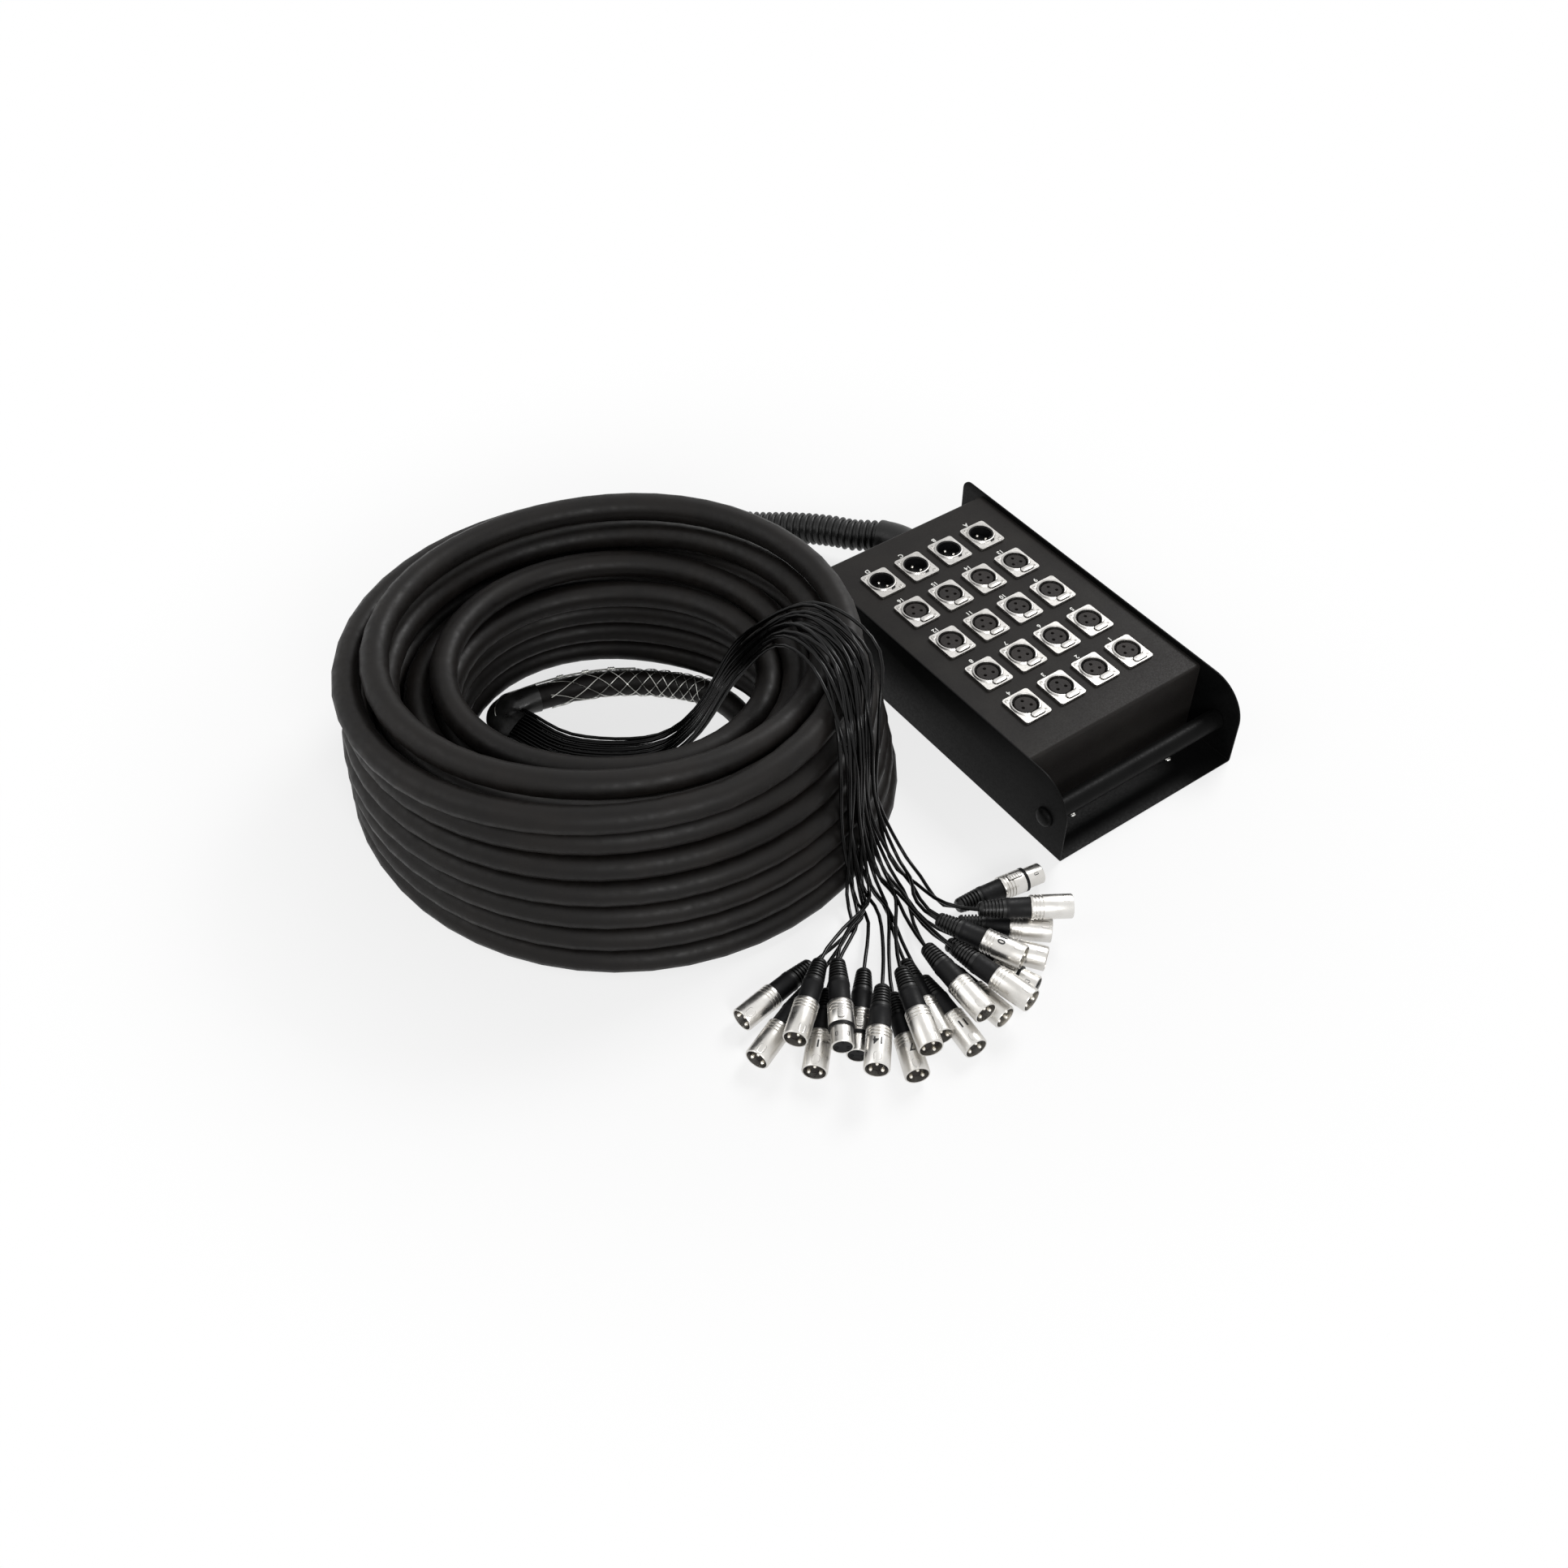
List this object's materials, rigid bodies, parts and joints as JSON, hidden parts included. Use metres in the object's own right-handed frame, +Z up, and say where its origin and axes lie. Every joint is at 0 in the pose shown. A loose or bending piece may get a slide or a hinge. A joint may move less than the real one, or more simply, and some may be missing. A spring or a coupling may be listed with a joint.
{
  "type": "stage box snake",
  "caption": "A black steel stage box with panel sockets and a handle bar, its ribbed outlet, a coil of multicore cable and a fan of cable plugs",
  "frame": {"origin": "centre of the box's underside, on the floor plane", "axes": "+X towards input 1, +Y towards the cable outlet, +Z up; the handle faces -Y"},
  "size_m": [0.6162, 0.6092, 0.1793],
  "materials": {
    "black_steel": "black satin powder coat",
    "panel_paint": "dark warm grey satin paint",
    "nickel": "satin nickel plate",
    "grip_wire": "galvanised steel wire",
    "black_rubber": "matte black rubber",
    "black_nylon": "black nylon",
    "black_sheath": "matte black cable sheath"
  },
  "bodies": {
    "box": {"housing_tray": "black_steel", "connector_panel": "panel_paint", "handle_bar": "black_steel", "handle_bolt_left": "black_steel", "handle_bolt_right": "black_steel", "cable_sleeve": "black_rubber", "outlet_clamp": "black_nylon", "inner_loom": "black_sheath", "corrugated_conduit": "black_rubber", "multicore_coil": "black_sheath", "multicore_end": "black_sheath", "pulling_grip": "grip_wire", "breakout_boot": "black_rubber", "tails_left": "black_sheath", "tails_middle": "black_sheath", "tails_right": "black_sheath", "return_socket_a": "nickel", "return_socket_b": "nickel", "return_socket_c": "nickel", "return_socket_d": "nickel", "input_socket_1": "nickel", "input_socket_2": "nickel", "input_socket_3": "nickel", "input_socket_4": "nickel", "input_socket_5": "nickel", "input_socket_6": "nickel", "input_socket_7": "nickel", "input_socket_8": "nickel", "input_socket_9": "nickel", "input_socket_10": "nickel", "input_socket_11": "nickel", "input_socket_12": "nickel", "input_socket_13": "nickel", "input_socket_14": "nickel", "input_socket_15": "nickel", "input_socket_16": "nickel", "return_plug_a": "nickel", "return_plug_b": "nickel", "return_plug_c": "nickel", "return_plug_d": "nickel"},
    "release_tab_1": {"input_latch_1": "nickel"},
    "release_tab_2": {"input_latch_2": "nickel"},
    "release_tab_3": {"input_latch_3": "nickel"},
    "release_tab_4": {"input_latch_4": "nickel"},
    "release_tab_5": {"input_latch_5": "nickel"},
    "release_tab_6": {"input_latch_6": "nickel"},
    "release_tab_7": {"input_latch_7": "nickel"},
    "release_tab_8": {"input_latch_8": "nickel"},
    "release_tab_9": {"input_latch_9": "nickel"},
    "release_tab_10": {"input_latch_10": "nickel"},
    "release_tab_11": {"input_latch_11": "nickel"},
    "release_tab_12": {"input_latch_12": "nickel"},
    "release_tab_13": {"input_latch_13": "nickel"},
    "release_tab_14": {"input_latch_14": "nickel"},
    "release_tab_15": {"input_latch_15": "nickel"},
    "release_tab_16": {"input_latch_16": "nickel"},
    "plug_latch_a": {"return_plug_latch_a": "nickel"},
    "plug_latch_b": {"return_plug_latch_b": "nickel"},
    "plug_latch_c": {"return_plug_latch_c": "nickel"},
    "plug_latch_d": {"return_plug_latch_d": "nickel"}
  },
  "joints": [
    {"name": "press_release_1", "type": "slide", "parent": "box", "child": "release_tab_1", "axis": [0, 0, -1], "range_m": [0, 0.0016], "stiffness_N_per_m": 400, "springref_m": -0.002},
    {"name": "press_release_2", "type": "slide", "parent": "box", "child": "release_tab_2", "axis": [0, 0, -1], "range_m": [0, 0.0016], "stiffness_N_per_m": 400, "springref_m": -0.002},
    {"name": "press_release_3", "type": "slide", "parent": "box", "child": "release_tab_3", "axis": [0, 0, -1], "range_m": [0, 0.0016], "stiffness_N_per_m": 400, "springref_m": -0.002},
    {"name": "press_release_4", "type": "slide", "parent": "box", "child": "release_tab_4", "axis": [0, 0, -1], "range_m": [0, 0.0016], "stiffness_N_per_m": 400, "springref_m": -0.002},
    {"name": "press_release_5", "type": "slide", "parent": "box", "child": "release_tab_5", "axis": [0, 0, -1], "range_m": [0, 0.0016], "stiffness_N_per_m": 400, "springref_m": -0.002},
    {"name": "press_release_6", "type": "slide", "parent": "box", "child": "release_tab_6", "axis": [0, 0, -1], "range_m": [0, 0.0016], "stiffness_N_per_m": 400, "springref_m": -0.002},
    {"name": "press_release_7", "type": "slide", "parent": "box", "child": "release_tab_7", "axis": [0, 0, -1], "range_m": [0, 0.0016], "stiffness_N_per_m": 400, "springref_m": -0.002},
    {"name": "press_release_8", "type": "slide", "parent": "box", "child": "release_tab_8", "axis": [0, 0, -1], "range_m": [0, 0.0016], "stiffness_N_per_m": 400, "springref_m": -0.002},
    {"name": "press_release_9", "type": "slide", "parent": "box", "child": "release_tab_9", "axis": [0, 0, -1], "range_m": [0, 0.0016], "stiffness_N_per_m": 400, "springref_m": -0.002},
    {"name": "press_release_10", "type": "slide", "parent": "box", "child": "release_tab_10", "axis": [0, 0, -1], "range_m": [0, 0.0016], "stiffness_N_per_m": 400, "springref_m": -0.002},
    {"name": "press_release_11", "type": "slide", "parent": "box", "child": "release_tab_11", "axis": [0, 0, -1], "range_m": [0, 0.0016], "stiffness_N_per_m": 400, "springref_m": -0.002},
    {"name": "press_release_12", "type": "slide", "parent": "box", "child": "release_tab_12", "axis": [0, 0, -1], "range_m": [0, 0.0016], "stiffness_N_per_m": 400, "springref_m": -0.002},
    {"name": "press_release_13", "type": "slide", "parent": "box", "child": "release_tab_13", "axis": [0, 0, -1], "range_m": [0, 0.0016], "stiffness_N_per_m": 400, "springref_m": -0.002},
    {"name": "press_release_14", "type": "slide", "parent": "box", "child": "release_tab_14", "axis": [0, 0, -1], "range_m": [0, 0.0016], "stiffness_N_per_m": 400, "springref_m": -0.002},
    {"name": "press_release_15", "type": "slide", "parent": "box", "child": "release_tab_15", "axis": [0, 0, -1], "range_m": [0, 0.0016], "stiffness_N_per_m": 400, "springref_m": -0.002},
    {"name": "press_release_16", "type": "slide", "parent": "box", "child": "release_tab_16", "axis": [0, 0, -1], "range_m": [0, 0.0016], "stiffness_N_per_m": 400, "springref_m": -0.002},
    {"name": "press_plug_latch_a", "type": "slide", "parent": "box", "child": "plug_latch_a", "axis": [0, 0, -1], "range_m": [0, 0.0012], "stiffness_N_per_m": 400, "springref_m": -0.002},
    {"name": "press_plug_latch_b", "type": "slide", "parent": "box", "child": "plug_latch_b", "axis": [0, 0, -1], "range_m": [0, 0.0012], "stiffness_N_per_m": 400, "springref_m": -0.002},
    {"name": "press_plug_latch_c", "type": "slide", "parent": "box", "child": "plug_latch_c", "axis": [0, 0, -1], "range_m": [0, 0.0012], "stiffness_N_per_m": 400, "springref_m": -0.002},
    {"name": "press_plug_latch_d", "type": "slide", "parent": "box", "child": "plug_latch_d", "axis": [0, 0, -1], "range_m": [0, 0.0012], "stiffness_N_per_m": 400, "springref_m": -0.002}
  ]
}
